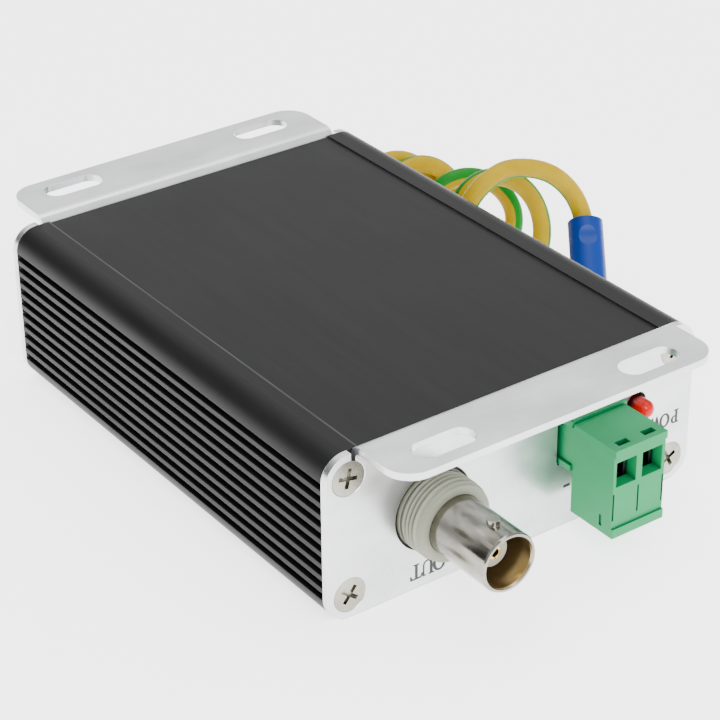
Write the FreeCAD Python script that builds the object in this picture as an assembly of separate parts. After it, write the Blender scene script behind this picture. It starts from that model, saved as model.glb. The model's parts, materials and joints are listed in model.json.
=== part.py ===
import FreeCAD, Part
import math
import os

from FreeCAD import Vector

# Frame: X across the housing, Y from the OUT end to the IN end, Z up from the face it lies on.
# All sizes are in millimetres. A name with OUT in it is a distance outwards from the end of the
# extrusion, and one with DROP in it is a distance below the board's lower face.

# Housing extrusion
BODY_WIDTH = 70.0
BODY_HEIGHT = 28.0
BODY_LENGTH = 88.0
CORNER_R = 4.0
FACE_WALL = 1.8
SIDE_WALL = 1.6
GROOVE_COUNT = 10
GROOVE_PITCH = 2.1
GROOVE_WIDTH = 1.25
GROOVE_DEPTH = 1.1
FIELD_INSET = 6.5
FIELD_DEPTH = 0.3
BOSS_R = 2.7
RAIL_REACH = 2.1
RAIL_THICKNESS = 1.2

# End plates, folded from sheet, with a slotted mounting flange along one edge
PLATE_THICKNESS = 1.2
BEND_OUTER_R = 2.0
FLANGE_RISE = 1.0
FLANGE_REACH = 12.4
FLANGE_INSET = 5.3
FLANGE_CORNER_R = 4.5
RELIEF_WIDTH = 0.8
RELIEF_DEPTH = 1.6
SLOT_LENGTH = 10.8
SLOT_WIDTH = 4.6
SLOT_SPACING = 38.5
SLOT_OUT = 7.85

# Countersunk cross-head screws
SCREW_INSET = 4.0
SCREW_R = 1.25
SCREW_LENGTH = 8.0
SCREW_HEAD_R = 2.8
SCREW_FIT = 0.05
COUNTERSINK_FIT = 0.1
CROSS_WIDTH = 0.7
CROSS_SPAN = 3.3
CROSS_DEPTH = 0.8
SCREW_TURNS_DEG = (38.0, 12.0, 62.0, 25.0)

# Circuit board, which carries its parts on the side that faces the floor here
BOARD_DEPTH = 7.6
BOARD_THICKNESS = 1.6
BOARD_END_GAP = 0.5
BOARD_FIT = 0.1
BOARD_SLOT_DEPTH = 1.7
LEAD_SIZE = 0.6
LEAD_FIT = 0.1
LEAD_STANDOUT = 0.8

# Video jacks
JACK_X = -15.8
JACK_SLEEVE_R = 6.6
JACK_SLEEVE_OUT = 6.5
JACK_HOLE_R = 7.0
THREAD_START = 1.7
THREAD_DEPTH = 0.35
JACK_BLOCK_WIDTH = 14.6
JACK_BLOCK_DEPTH = 10.0
BLOCK_GAP = 0.2
BARREL_R = 4.8
BARREL_BORE_R = 4.1
BARREL_OUT = 18.9
BARREL_SEAT = 3.6
BARREL_LIP = 0.35
LUG_R = 1.0
LUG_HEIGHT = 0.8
LUG_OUT = 15.0
INSULATOR_OUT = 10.0
NOSE_R = 2.4
NOSE_OUT = 15.3
CONTACT_R = 1.05
CONTACT_BORE_R = 0.68
CONTACT_BORE_DEPTH = 5.0
CONTACT_SLIT = 0.25
CONTACT_PROUD = 0.3
JACK_FIT = 0.03
TAIL_SIZE = 1.0

# Two-pole header in the end plate
TERMINAL_X = 13.5
POLE_PITCH = 5.08
POLE_COUNT = 2
HEADER_SIDE = 0.42
HEADER_HEIGHT = 8.7
HEADER_WALL = 1.0
HEADER_BACK_WALL = 1.5
HEADER_OUT = 3.9
HEADER_DEPTH = 12.0
CUTOUT_FIT = 0.3
PIN_SIZE = 1.0
PIN_DROP = 4.4
PIN_TIP_INSIDE = 1.9
PIN_TAIL = 1.6

# Pluggable screw terminal
PLUG_OUT = 13.6
PLUG_TOP_DROP = 0.5
PLUG_HEIGHT = 15.5
PLUG_SEAT_GAP = 0.1
NECK_LENGTH = 8.0
NECK_FIT = 0.15
LIP_STEP = 0.35
TOP_LIP_HEIGHT = 1.3
BOTTOM_LIP_HEIGHT = 1.6
WIRE_HOLE_WIDTH = 3.9
WIRE_HOLE_HEIGHT = 4.3
WIRE_HOLE_CEILING = 2.4
FRONT_GROOVE_WIDTH = 0.3
FRONT_GROOVE_DEPTH = 0.25
FRONT_GROOVE_X = 4.85
FRONT_GROOVE_RISE = 3.0
FRONT_GROOVE_LENGTH = 4.7
WINDOW_WIDTH = 2.3
WINDOW_DEPTH = 1.2
WINDOW_BACK = 1.0
SIDE_NOTCH_WIDTH = 0.6
SIDE_NOTCH_HEIGHT = 1.9
SIDE_NOTCH_BACK = 2.5
SIDE_NOTCH_RISE = 1.1

# Rising clamps and their screws inside the plug
CLAMP_OUT = 8.6
CHAMBER_WIDTH = 4.1
CHAMBER_DEPTH = 5.2
CHAMBER_FLOOR = 1.0
CHAMBER_ROOF = 1.0
CAGE_FIT = 0.2
CAGE_BLOCK_HEIGHT = 2.4
CAGE_WALL = 0.5
CAGE_TRAVEL = 2.5
CAGE_STOP_GAP = 0.3
CLAMP_SCREW_R = 1.25
CLAMP_SCREW_FIT = 0.05
CLAMP_HEAD_R = 1.85
CLAMP_HEAD_HEIGHT = 1.6
CLAMP_HEAD_GAP = 0.1
CLAMP_SLOT_WIDTH = 0.6
CLAMP_SLOT_DEPTH = 0.8
DRIVER_HOLE_R = 1.6
TONGUE_RISE = 8.6
TONGUE_THICKNESS = 0.6
TONGUE_WIDTH = 2.0
TONGUE_REACH = 2.0
SOCKET_OUTER = 2.5
SOCKET_INNER = 1.4
SOCKET_FIT = 0.05
SOCKET_INSET = 0.6

# Power lamp
LAMP_X = 23.5
LAMP_DROP = 3.6
LAMP_R = 1.5
LAMP_RIM_R = 1.9
LAMP_RIM_LENGTH = 1.0
LAMP_OUT = 4.6
LAMP_HOLE_R = 2.0
LAMP_GAP = 0.2
LAMP_LEAD_PITCH = 1.27
LAMP_LEAD_RUN = 2.4

# Protection parts on the board, with the (x, y) place of each
GAS_TUBE_R = 4.0
GAS_TUBE_LENGTH = 6.0
GAS_TUBE_SPOTS = ((-15.8, 14.0), (13.5, 12.0))
DISC_R = 5.0
DISC_THICKNESS = 3.6
DISC_SPOTS = ((8.0, -8.0), (19.0, -8.0))
DIODE_R = 2.6
DIODE_LENGTH = 9.0
DIODE_SPOTS = ((-15.8, -12.0), (-15.8, -19.0))
RESISTOR_R = 2.2
RESISTOR_LENGTH = 11.0
RESISTOR_SPOTS = ((-15.8, 4.0), (-15.8, -4.0))
CHOKE_R = 4.6
CHOKE_HEIGHT = 9.0
CHOKE_SPOTS = ((8.0, 1.5), (19.0, 1.5))
FUSE_R = 4.0
FUSE_THICKNESS = 2.6
FUSE_SPOTS = ((8.0, 21.0), (19.0, 21.0))
LAMP_RESISTOR_R = 1.2
LAMP_RESISTOR_LENGTH = 6.0
LAMP_RESISTOR_SPOTS = ((-1.0, -24.0),)
PART_CLEARANCE = 0.4
LEAD_RUN = 1.2

# Earth wire, its grommet, its coil and its ring terminal
WIRE_R = 1.7
GROMMET_X = 23.0
GROMMET_Z = 13.0
GROMMET_NECK_R = 2.75
GROMMET_FIT = 0.05
GROMMET_RIM_R = 3.8
GROMMET_RIM = 1.4
INNER_TURN_R = 7.0
INNER_RUN = 8.0
# Each ring of the coil: X from the housing's side, Y from its IN end, and the turn's radius
COIL_RINGS = ((15.0, -30.0, 12.3), (20.4, -10.5, 6.9), (11.0, 9.6, 6.9))
COIL_JOINT_DEG = -60.0
COIL_SIDES = 24
COIL_LEAD = 12.0
LOOP_REACH = 27.5
LOOP_CORNER = 0.3
LOOP_START = 8.0
LOOP_SWAY = 0.5
LOOP_FALL = (0.0, 0.7, 1.05, 1.05)
SLEEVE_R = 3.15
SLEEVE_LENGTH = 12.4
SLEEVE_BORE_DEPTH = 4.0
SLEEVE_BORE_FIT = 0.05
SLEEVE_START = (11.27, -3.27, 0.04)
SLEEVE_AIM = (-0.437, -0.645, -0.627)
DENT_PLACE = 3.7
DENT_LENGTH = 3.9
DENT_DEPTH = 0.45
STUB_LENGTH = 6.4
CRIMP_R = 1.6
CRIMP_LENGTH = 5.0
TAG_THICKNESS = 0.8
TAG_NECK = 4.2
TAG_REACH = 5.4
TAG_R = 4.0
TAG_HOLE_R = 2.15

END = BODY_LENGTH / 2
HALF_WIDTH = BODY_WIDTH / 2
FLANGE_WIDTH = BODY_WIDTH - 2 * FLANGE_INSET
BOARD_FACE_Z = BODY_HEIGHT - BOARD_DEPTH
BOARD_TOP_Z = BOARD_FACE_Z + BOARD_THICKNESS
LEAD_TOP_Z = BOARD_TOP_Z + LEAD_STANDOUT
JACK_Z = BOARD_FACE_Z - JACK_BLOCK_WIDTH / 2
LAMP_Z = BOARD_FACE_Z - LAMP_DROP
PIN_Z = BOARD_FACE_Z - PIN_DROP
HEADER_BOTTOM_Z = BOARD_FACE_Z - HEADER_HEIGHT
PLUG_TOP_Z = BOARD_FACE_Z - PLUG_TOP_DROP
PLUG_BOTTOM_Z = PLUG_TOP_Z - PLUG_HEIGHT
WIRE_HOLE_TOP_Z = PLUG_TOP_Z - WIRE_HOLE_CEILING
CHAMBER_FLOOR_Z = PLUG_BOTTOM_Z + CHAMBER_FLOOR
CHAMBER_TOP_Z = PLUG_TOP_Z - CHAMBER_ROOF
TONGUE_Z = PLUG_BOTTOM_Z + TONGUE_RISE
CLAMP_HEAD_Z = CHAMBER_FLOOR_Z + CLAMP_HEAD_GAP
CLAMP_SHANK_Z = CLAMP_HEAD_Z + CLAMP_HEAD_HEIGHT
CAGE_BLOCK_Z = CLAMP_SHANK_Z + CAGE_STOP_GAP + CAGE_TRAVEL
CAGE_TOP_Z = CHAMBER_TOP_Z - CAGE_STOP_GAP
PLUG_HALF_WIDTH = POLE_COUNT * POLE_PITCH / 2
HEADER_HALF_WIDTH = PLUG_HALF_WIDTH + HEADER_SIDE
POLE_OFFSETS = [(i - (POLE_COUNT - 1) / 2) * POLE_PITCH for i in range(POLE_COUNT)]


def out_y(depth):
    """Y of a place at the OUT end, a depth outwards from the extrusion."""
    return -(END + depth)


def box(x0, x1, y0, y1, z0, z1):
    return Part.makeBox(x1 - x0, y1 - y0, z1 - z0, Vector(x0, y0, z0))


def rod_x(radius, y, z, x0, x1):
    return Part.makeCylinder(radius, x1 - x0, Vector(x0, y, z), Vector(1, 0, 0))


def rod_y(radius, x, z, y0, y1):
    return Part.makeCylinder(radius, y1 - y0, Vector(x, y0, z), Vector(0, 1, 0))


def rod_z(radius, x, y, z0, z1):
    return Part.makeCylinder(radius, z1 - z0, Vector(x, y, z0), Vector(0, 0, 1))


def turned_y(outline, x, z):
    """Solid of revolution about a line along Y, from (radius, y) points in order."""
    points = [Vector(x + radius, y, z) for radius, y in outline]
    face = Part.Face(Part.makePolygon(points + [points[0]]))
    return face.revolve(Vector(x, 0, z), Vector(0, 1, 0), 360)


def edges_along(shape, direction, test=None):
    """Straight edges that run along a direction, and pass a test of their middle."""
    found = []
    for edge in shape.Edges:
        start, stop = edge.firstVertex().Point, edge.lastVertex().Point
        run = stop.sub(start)
        middle = start.add(stop).multiply(0.5)
        straight = run.Length > 1e-6 and run.cross(direction).Length < 1e-6 * run.Length
        if straight and (test is None or test(middle)):
            found.append(edge)
    return found


def fused(shapes):
    whole = shapes[0].multiFuse(shapes[1:]) if len(shapes) > 1 else shapes[0]
    return whole.removeSplitter()


def to_in_end(shape):
    return shape.mirror(Vector(0, 0, 0), Vector(0, 1, 0))


def screw_spots():
    across = HALF_WIDTH - SCREW_INSET
    return [(x, z) for x in (-across, across) for z in (SCREW_INSET, BODY_HEIGHT - SCREW_INSET)]


# Housing

def housing_extrusion():
    outer = box(-HALF_WIDTH, HALF_WIDTH, -END, END, 0, BODY_HEIGHT)
    outer = outer.makeFillet(CORNER_R, edges_along(outer, Vector(0, 1, 0)))
    inner_half = HALF_WIDTH - SIDE_WALL - GROOVE_DEPTH
    cavity = box(-inner_half, inner_half, -END, END, FACE_WALL, BODY_HEIGHT - FACE_WALL)
    pieces = [outer.cut(cavity)]
    for x, z in screw_spots():
        pieces.append(rod_y(BOSS_R, x, z, -END, END))
    slot_z0 = BOARD_FACE_Z - BOARD_FIT
    slot_z1 = BOARD_TOP_Z + BOARD_FIT
    for side in (-1, 1):
        near, far = sorted((side * (inner_half - RAIL_REACH), side * inner_half))
        pieces.append(box(near, far, -END, END, slot_z0 - RAIL_THICKNESS, slot_z1 + RAIL_THICKNESS))
    cuts = [rod_y(SCREW_R + SCREW_FIT, x, z, -END, END) for x, z in screw_spots()]
    first_groove = (BODY_HEIGHT - (GROOVE_COUNT - 1) * GROOVE_PITCH) / 2
    for side in (-1, 1):
        near, far = sorted((side * (HALF_WIDTH - GROOVE_DEPTH), side * (HALF_WIDTH + 1)))
        for i in range(GROOVE_COUNT):
            z = first_groove + i * GROOVE_PITCH
            cuts.append(box(near, far, -END, END, z - GROOVE_WIDTH / 2, z + GROOVE_WIDTH / 2))
        near, far = sorted((side * (HALF_WIDTH - SCREW_INSET - BOSS_R), side * board_slot_half()))
        cuts.append(box(near, far, -END, END, slot_z0, slot_z1))
    field_half = HALF_WIDTH - FIELD_INSET
    cuts.append(box(-field_half, field_half, -END, END, BODY_HEIGHT - FIELD_DEPTH, BODY_HEIGHT))
    cuts.append(box(-field_half, field_half, -END, END, 0, FIELD_DEPTH))
    return fused(pieces).cut(cuts)


def board_slot_half():
    """Half the width between the bottoms of the two board slots."""
    return HALF_WIDTH - SIDE_WALL - GROOVE_DEPTH - RAIL_REACH + BOARD_SLOT_DEPTH


def flange_strip():
    """The bend and the flange, as a folded strip of the plate's sheet."""
    top = BODY_HEIGHT + FLANGE_RISE
    centre_z = top - BEND_OUTER_R
    inner_r = BEND_OUTER_R - PLATE_THICKNESS
    root_z = centre_z - RELIEF_DEPTH
    half = math.sqrt(0.5)

    def at(depth, z):
        return Vector(-FLANGE_WIDTH / 2, out_y(depth), z)

    def bend(radius):
        return at(BEND_OUTER_R - radius * half, centre_z + radius * half)

    under = top - PLATE_THICKNESS
    outside = Part.Arc(at(0, centre_z), bend(BEND_OUTER_R), at(BEND_OUTER_R, top))
    inside = Part.Arc(at(BEND_OUTER_R, under), bend(inner_r), at(PLATE_THICKNESS, centre_z))
    edges = [
        Part.makeLine(at(0, root_z), at(0, centre_z)),
        outside.toShape(),
        Part.makeLine(at(BEND_OUTER_R, top), at(FLANGE_REACH, top)),
        Part.makeLine(at(FLANGE_REACH, top), at(FLANGE_REACH, under)),
        Part.makeLine(at(FLANGE_REACH, under), at(BEND_OUTER_R, under)),
        inside.toShape(),
        Part.makeLine(at(PLATE_THICKNESS, centre_z), at(PLATE_THICKNESS, root_z)),
        Part.makeLine(at(PLATE_THICKNESS, root_z), at(0, root_z)),
    ]
    strip = Part.Face(Part.Wire(edges)).extrude(Vector(FLANGE_WIDTH, 0, 0))
    edge_y = out_y(FLANGE_REACH)
    corners = edges_along(strip, Vector(0, 0, 1), lambda p: abs(p.y - edge_y) < 1e-6)
    return strip.makeFillet(FLANGE_CORNER_R, corners)


def mounting_slot(x):
    """Cutter for one slot of the flange, with round ends."""
    z0 = BODY_HEIGHT + FLANGE_RISE - 2 * PLATE_THICKNESS
    z1 = BODY_HEIGHT + FLANGE_RISE + PLATE_THICKNESS
    y = out_y(SLOT_OUT)
    radius = SLOT_WIDTH / 2
    straight = SLOT_LENGTH / 2 - radius
    ends = [rod_z(radius, x + side * straight, y, z0, z1) for side in (-1, 1)]
    return fused(ends + [box(x - straight, x + straight, y - radius, y + radius, z0, z1)])


def end_plate(openings):
    """Plate for the OUT end: sheet, flange, slots, countersinks and its own openings."""
    sheet = box(-HALF_WIDTH, HALF_WIDTH, out_y(PLATE_THICKNESS), out_y(0), 0, BODY_HEIGHT)
    sheet = sheet.makeFillet(CORNER_R, edges_along(sheet, Vector(0, 1, 0)))
    root_z = BODY_HEIGHT + FLANGE_RISE - BEND_OUTER_R - RELIEF_DEPTH
    relief_half = FLANGE_WIDTH / 2 + RELIEF_WIDTH
    y0, y1 = out_y(PLATE_THICKNESS), out_y(0)
    gap = box(-relief_half, relief_half, y0, y1, root_z, BODY_HEIGHT)
    plate = fused([sheet.cut(gap), flange_strip()])
    cuts = list(openings)
    for x, z in screw_spots():
        head_r = SCREW_HEAD_R + COUNTERSINK_FIT
        outline = [(0, out_y(0)), (head_r - PLATE_THICKNESS, out_y(0)), (head_r, y0), (0, y0)]
        cuts.append(turned_y(outline, x, z))
    for side in (-1, 1):
        cuts.append(mounting_slot(side * SLOT_SPACING / 2))
    return plate.cut(cuts)


def jack_opening():
    return rod_y(JACK_HOLE_R, JACK_X, JACK_Z, out_y(PLATE_THICKNESS), out_y(0))


def header_opening():
    half = HEADER_HALF_WIDTH + CUTOUT_FIT
    z0 = HEADER_BOTTOM_Z - CUTOUT_FIT
    z1 = BOARD_FACE_Z + CUTOUT_FIT
    y0, y1 = out_y(PLATE_THICKNESS), out_y(0)
    return box(TERMINAL_X - half, TERMINAL_X + half, y0, y1, z0, z1)


def lamp_opening():
    return rod_y(LAMP_HOLE_R, LAMP_X, LAMP_Z, out_y(PLATE_THICKNESS), out_y(0))


def grommet_opening():
    radius = GROMMET_NECK_R + GROMMET_FIT
    return rod_y(radius, GROMMET_X, GROMMET_Z, out_y(PLATE_THICKNESS), out_y(0))


def plate_screw(x, z, turn):
    """Countersunk screw that bears on the end of its boss."""
    head_depth = PLATE_THICKNESS - SCREW_FIT
    outline = [
        (0, out_y(-SCREW_LENGTH)),
        (SCREW_R, out_y(-SCREW_LENGTH)),
        (SCREW_R, out_y(0)),
        (SCREW_HEAD_R - head_depth, out_y(0)),
        (SCREW_HEAD_R, out_y(head_depth)),
        (0, out_y(head_depth)),
    ]
    screw = turned_y(outline, x, z)
    y0, y1 = out_y(head_depth), out_y(head_depth - CROSS_DEPTH)
    half_span, half_width = CROSS_SPAN / 2, CROSS_WIDTH / 2
    bars = [
        box(x - half_span, x + half_span, y0, y1, z - half_width, z + half_width),
        box(x - half_width, x + half_width, y0, y1, z - half_span, z + half_span),
    ]
    for bar in bars:
        bar.rotate(Vector(x, 0, z), Vector(0, 1, 0), turn)
    return screw.cut(bars)


def plate_screws():
    return [plate_screw(x, z, turn) for (x, z), turn in zip(screw_spots(), SCREW_TURNS_DEG)]


# Video jack

def jack_body():
    """Moulded body: stepped sleeve through the plate and a block on the board."""
    front = out_y(JACK_SLEEVE_OUT)
    root = out_y(-BLOCK_GAP)
    outline = [
        (0, root),
        (JACK_SLEEVE_R, root),
        (JACK_SLEEVE_R, out_y(THREAD_START)),
        (JACK_SLEEVE_R - THREAD_DEPTH, out_y(THREAD_START)),
        (JACK_SLEEVE_R - THREAD_DEPTH, front),
        (0, front),
    ]
    sleeve = turned_y(outline, JACK_X, JACK_Z)
    half = JACK_BLOCK_WIDTH / 2
    back = root + JACK_BLOCK_DEPTH
    block_z = BOARD_FACE_Z - JACK_BLOCK_WIDTH
    block = box(JACK_X - half, JACK_X + half, root, back, block_z, BOARD_FACE_Z)
    seat = rod_y(BARREL_R + JACK_FIT, JACK_X, JACK_Z, front, front + BARREL_SEAT)
    core = rod_y(CONTACT_R + JACK_FIT, JACK_X, JACK_Z, front, back)
    return fused([sleeve, block]).cut([seat, core])


def jack_barrel():
    """Plated barrel with its two bayonet lugs."""
    root = out_y(JACK_SLEEVE_OUT) + BARREL_SEAT
    mouth = out_y(BARREL_OUT)
    outline = [
        (BARREL_BORE_R, root),
        (BARREL_R, root),
        (BARREL_R, mouth + BARREL_LIP),
        (BARREL_R - BARREL_LIP / 2, mouth),
        (BARREL_BORE_R + BARREL_LIP / 2, mouth),
        (BARREL_BORE_R, mouth + BARREL_LIP),
    ]
    barrel = turned_y(outline, JACK_X, JACK_Z)
    reach = BARREL_R + LUG_HEIGHT
    lug = rod_z(LUG_R, JACK_X, out_y(LUG_OUT), JACK_Z - reach, JACK_Z + reach)
    lugs = lug.cut(rod_y((BARREL_R + BARREL_BORE_R) / 2, JACK_X, JACK_Z, mouth, root))
    return fused([barrel] + lugs.Solids)


def jack_insulator():
    """Insulating base that fills the barrel, with the nose that carries the contact."""
    root = out_y(JACK_SLEEVE_OUT) + BARREL_SEAT
    base_r = BARREL_BORE_R - JACK_FIT
    bore = CONTACT_R + JACK_FIT
    outline = [
        (bore, root),
        (base_r, root),
        (base_r, out_y(INSULATOR_OUT)),
        (NOSE_R, out_y(INSULATOR_OUT)),
        (NOSE_R, out_y(NOSE_OUT)),
        (bore, out_y(NOSE_OUT)),
    ]
    return turned_y(outline, JACK_X, JACK_Z)


def jack_contact():
    """Centre socket, split at its mouth, with a tail that bends up into the board."""
    front = out_y(NOSE_OUT + CONTACT_PROUD)
    block_back = out_y(-BLOCK_GAP) + JACK_BLOCK_DEPTH
    tail_y = jack_tail_y()
    shank = rod_y(CONTACT_R, JACK_X, JACK_Z, front, block_back)
    half = TAIL_SIZE / 2
    elbow = [
        box(JACK_X - half, JACK_X + half, block_back, tail_y + half, JACK_Z - half, JACK_Z + half),
        box(JACK_X - half, JACK_X + half, tail_y - half, tail_y + half, JACK_Z, LEAD_TOP_Z),
    ]
    slit, span = CONTACT_SLIT / 2, CONTACT_R + 1
    slit_end = front + CONTACT_BORE_DEPTH * 0.6
    cuts = [
        rod_y(CONTACT_BORE_R, JACK_X, JACK_Z, front, front + CONTACT_BORE_DEPTH),
        box(JACK_X - slit, JACK_X + slit, front, slit_end, JACK_Z - span, JACK_Z + span),
    ]
    return fused([shank] + elbow).cut(cuts)


def jack_tail_y():
    return out_y(-BLOCK_GAP) + JACK_BLOCK_DEPTH + TAIL_SIZE


# Header and pluggable terminal

def header_shell():
    """Open-sided header: two long walls and a back wall with the pins through it."""
    half = HEADER_HALF_WIDTH
    front = out_y(HEADER_OUT)
    back = front + HEADER_DEPTH
    x0, x1 = TERMINAL_X - half, TERMINAL_X + half
    whole = box(x0, x1, front, back, HEADER_BOTTOM_Z, BOARD_FACE_Z)
    room_y = back - HEADER_BACK_WALL
    room = box(x0, x1, front, room_y, HEADER_BOTTOM_Z + HEADER_WALL, BOARD_FACE_Z - HEADER_WALL)
    cuts = [room]
    for x in pole_places():
        cuts.append(pin_bar(x, PIN_SIZE + 2 * JACK_FIT, room_y, back, PIN_Z))
    return whole.cut(cuts)


def pole_places():
    return [TERMINAL_X + offset for offset in POLE_OFFSETS]


def pin_bar(x, size, y0, y1, z):
    half = size / 2
    return box(x - half, x + half, y0, y1, z - half, z + half)


def header_pin_tail_y():
    return out_y(HEADER_OUT) + HEADER_DEPTH + PIN_TAIL


def header_pins():
    """Square pins, bent up into the board behind the header."""
    pins = []
    half = PIN_SIZE / 2
    tip = out_y(HEADER_OUT - PIN_TIP_INSIDE)
    tail = header_pin_tail_y()
    for x in pole_places():
        level = pin_bar(x, PIN_SIZE, tip, tail + half, PIN_Z)
        upright = box(x - half, x + half, tail - half, tail + half, PIN_Z, LEAD_TOP_Z)
        pins.append(fused([level, upright]))
    return pins


def plug_seat_y():
    """Y of the plug's shoulder, just clear of the header's front edge."""
    return out_y(HEADER_OUT + PLUG_SEAT_GAP)


def clamp_y():
    return out_y(CLAMP_OUT)


def neck_z():
    low = HEADER_BOTTOM_Z + HEADER_WALL + NECK_FIT
    high = BOARD_FACE_Z - HEADER_WALL - NECK_FIT
    return low, high


def plug_housing():
    half = PLUG_HALF_WIDTH
    x0, x1 = TERMINAL_X - half, TERMINAL_X + half
    lip_y = out_y(PLUG_OUT)
    front = lip_y + LIP_STEP
    seat = plug_seat_y()
    neck_low, neck_high = neck_z()
    pieces = [
        box(x0, x1, front, seat, PLUG_BOTTOM_Z, PLUG_TOP_Z),
        box(x0, x1, seat, seat + NECK_LENGTH, neck_low, neck_high),
        box(x0, x1, lip_y, front, PLUG_TOP_Z - TOP_LIP_HEIGHT, PLUG_TOP_Z),
        box(x0, x1, lip_y, front, PLUG_BOTTOM_Z, PLUG_BOTTOM_Z + BOTTOM_LIP_HEIGHT),
    ]
    cuts = []
    for x in pole_places():
        cuts.extend(pole_cuts(x, lip_y, front, seat))
    groove = FRONT_GROOVE_WIDTH / 2
    for offset in (-FRONT_GROOVE_X, 0, FRONT_GROOVE_X):
        x = TERMINAL_X + offset
        z0 = PLUG_BOTTOM_Z + FRONT_GROOVE_RISE
        z1 = z0 + FRONT_GROOVE_LENGTH
        cuts.append(box(x - groove, x + groove, front, front + FRONT_GROOVE_DEPTH, z0, z1))
    notch_y = lip_y + SIDE_NOTCH_BACK
    for side in (x0, x1):
        near, far = sorted((side, side + math.copysign(FRONT_GROOVE_DEPTH, TERMINAL_X - side)))
        z0 = PLUG_BOTTOM_Z + SIDE_NOTCH_RISE
        z1 = z0 + SIDE_NOTCH_HEIGHT
        cuts.append(box(near, far, notch_y, notch_y + SIDE_NOTCH_WIDTH, z0, z1))
    return fused(pieces).cut(cuts)


def pole_cuts(x, lip_y, front, seat):
    """Cutters for one pole: wire hole, window, clamp chamber, driver hole and socket bore."""
    wire, chamber, window = WIRE_HOLE_WIDTH / 2, CHAMBER_WIDTH / 2, WINDOW_WIDTH / 2
    middle = clamp_y()
    chamber_y0 = middle - CHAMBER_DEPTH / 2
    chamber_y1 = middle + CHAMBER_DEPTH / 2
    window_y = lip_y + WINDOW_BACK
    hole_z = WIRE_HOLE_TOP_Z - WIRE_HOLE_HEIGHT
    bore = SOCKET_OUTER / 2 + SOCKET_FIT
    slot = TONGUE_WIDTH / 2 + SOCKET_FIT
    riser_y = chamber_y1 + TONGUE_THICKNESS
    socket_y = seat + NECK_LENGTH
    return [
        box(x - wire, x + wire, front, middle, hole_z, WIRE_HOLE_TOP_Z),
        box(x - window, x + window, window_y, window_y + WINDOW_DEPTH, WIRE_HOLE_TOP_Z, PLUG_TOP_Z),
        box(x - chamber, x + chamber, chamber_y0, chamber_y1, CHAMBER_FLOOR_Z, CHAMBER_TOP_Z),
        rod_z(DRIVER_HOLE_R, x, middle, PLUG_BOTTOM_Z, CHAMBER_FLOOR_Z),
        box(x - bore, x + bore, chamber_y1, socket_y, PIN_Z - bore, PIN_Z + bore),
        box(x - slot, x + slot, chamber_y1, riser_y, TONGUE_Z - SOCKET_FIT, PIN_Z),
    ]


def plug_contacts():
    """One strip for each pole: a box socket round the pin and a tongue under the clamp."""
    strips = []
    socket_y1 = plug_seat_y() + NECK_LENGTH - SOCKET_INSET
    riser_y = clamp_y() + CHAMBER_DEPTH / 2
    socket_y0 = riser_y + TONGUE_THICKNESS
    tongue_y0 = clamp_y() - TONGUE_REACH
    outer, inner = SOCKET_OUTER, SOCKET_INNER
    foot_z = PIN_Z - outer / 2
    half = TONGUE_WIDTH / 2
    for x in pole_places():
        socket = pin_bar(x, outer, socket_y0, socket_y1, PIN_Z)
        room = pin_bar(x, inner, socket_y0, socket_y1, PIN_Z)
        tongue = box(x - half, x + half, tongue_y0, socket_y0, TONGUE_Z, TONGUE_Z + TONGUE_THICKNESS)
        riser = box(x - half, x + half, riser_y, socket_y0, TONGUE_Z, foot_z + TONGUE_THICKNESS)
        strips.append(fused([socket.cut(room), tongue, riser]))
    return strips


def clamp_cage(x):
    """Loop that the screw pulls towards its head to pinch a wire on the tongue."""
    half_x = CHAMBER_WIDTH / 2 - CAGE_FIT
    half_y = CHAMBER_DEPTH / 2 - CAGE_FIT
    y = clamp_y()
    block_top = CAGE_BLOCK_Z + CAGE_BLOCK_HEIGHT
    whole = box(x - half_x, x + half_x, y - half_y, y + half_y, CAGE_BLOCK_Z, CAGE_TOP_Z)
    room_x = half_x - CAGE_WALL
    room = box(x - room_x, x + room_x, y - half_y, y + half_y, block_top, CAGE_TOP_Z - CAGE_WALL)
    hole = rod_z(CLAMP_SCREW_R + CLAMP_SCREW_FIT, x, y, CAGE_BLOCK_Z, block_top)
    return whole.cut([room, hole])


def clamp_screw(x):
    """Slotted screw, held by the floor of its chamber, with its head to the driver hole."""
    y = clamp_y()
    head = rod_z(CLAMP_HEAD_R, x, y, CLAMP_HEAD_Z, CLAMP_SHANK_Z)
    shank = rod_z(CLAMP_SCREW_R, x, y, CLAMP_SHANK_Z, TONGUE_Z - CAGE_FIT)
    half, slot_z = CLAMP_SLOT_WIDTH / 2, CLAMP_HEAD_Z + CLAMP_SLOT_DEPTH
    slot = box(x - CLAMP_HEAD_R, x + CLAMP_HEAD_R, y - half, y + half, CLAMP_HEAD_Z, slot_z)
    return fused([head, shank]).cut(slot)


# Power lamp

def lamp_back_y():
    return out_y(-LAMP_GAP) + LAMP_RIM_LENGTH


def lamp_lead_y():
    return lamp_back_y() + LAMP_LEAD_RUN


def power_lamp():
    """Round lamp: rim behind the plate, body through its hole and a domed end."""
    back = lamp_back_y()
    rim_front = out_y(-LAMP_GAP)
    dome_y = out_y(LAMP_OUT - LAMP_R)
    pieces = [
        rod_y(LAMP_RIM_R, LAMP_X, LAMP_Z, rim_front, back),
        rod_y(LAMP_R, LAMP_X, LAMP_Z, dome_y, back),
        Part.makeSphere(LAMP_R, Vector(LAMP_X, dome_y, LAMP_Z)),
    ]
    return fused(pieces)


def lamp_leads():
    leads = []
    back, turn = lamp_back_y(), lamp_lead_y()
    for side in (-1, 1):
        leads.append(bent_lead_y(LAMP_X + side * LAMP_LEAD_PITCH, back, turn, LAMP_Z))
    return leads


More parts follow.
